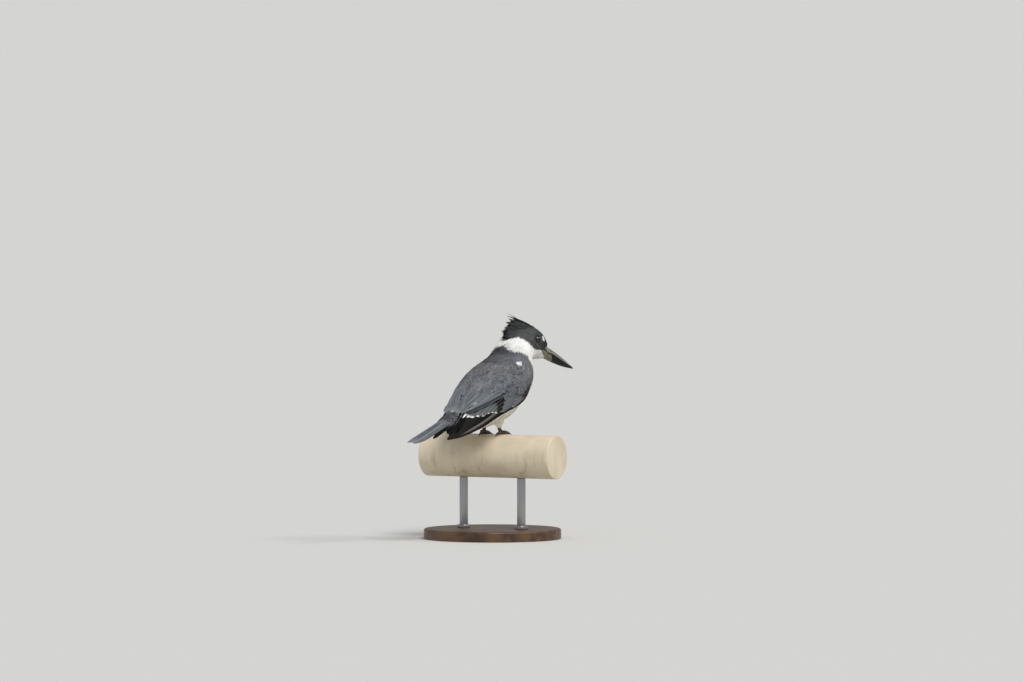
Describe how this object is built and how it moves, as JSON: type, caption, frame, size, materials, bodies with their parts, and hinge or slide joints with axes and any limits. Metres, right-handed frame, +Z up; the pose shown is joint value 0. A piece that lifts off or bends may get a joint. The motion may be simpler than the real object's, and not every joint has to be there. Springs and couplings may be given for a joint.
{
  "type": "perched belted kingfisher model",
  "caption": "Life-size museum-style kingfisher perched on a short cut of round rail, held up by a plain display stand with a flat base and rods.",
  "frame": {"origin": "centre of the stand base's flat underside, on the surface it stands on", "axes": "+Z up, the bird faces -Y, its right side is towards -X"},
  "size_m": [0.1768, 0.267, 0.2618],
  "materials": {
    "charcoal_plumage": "soft dark charcoal feathers with black shaft streaks",
    "white_plumage": "soft white feathers",
    "slate_plumage": "slate blue-grey feathers, black flight feathers with white tips and spots",
    "bill_horn": "black horn, grey-olive at the base of the lower half",
    "eye_glass": "polished dark brown eye",
    "foot_skin": "dark scaly skin with black claws",
    "rail_paint": "weathered cream paint with faint stains",
    "stand_wood": "dark satin wood",
    "stand_steel": "satin steel"
  },
  "bodies": {
    "root": {"head": "charcoal_plumage", "crest": "charcoal_plumage", "neck": "white_plumage", "trunk": "slate_plumage", "wing_right": "slate_plumage", "wing_left": "slate_plumage", "tail": "slate_plumage", "thigh_right": "white_plumage", "thigh_left": "white_plumage", "bill_upper": "bill_horn", "bill_lower": "bill_horn", "eye_right": "eye_glass", "eye_left": "eye_glass", "foot_right": "foot_skin", "foot_left": "foot_skin", "perch": "rail_paint", "stand_base": "stand_wood", "stand_rod_right": "stand_steel", "stand_rod_left": "stand_steel"}
  },
  "joints": []
}
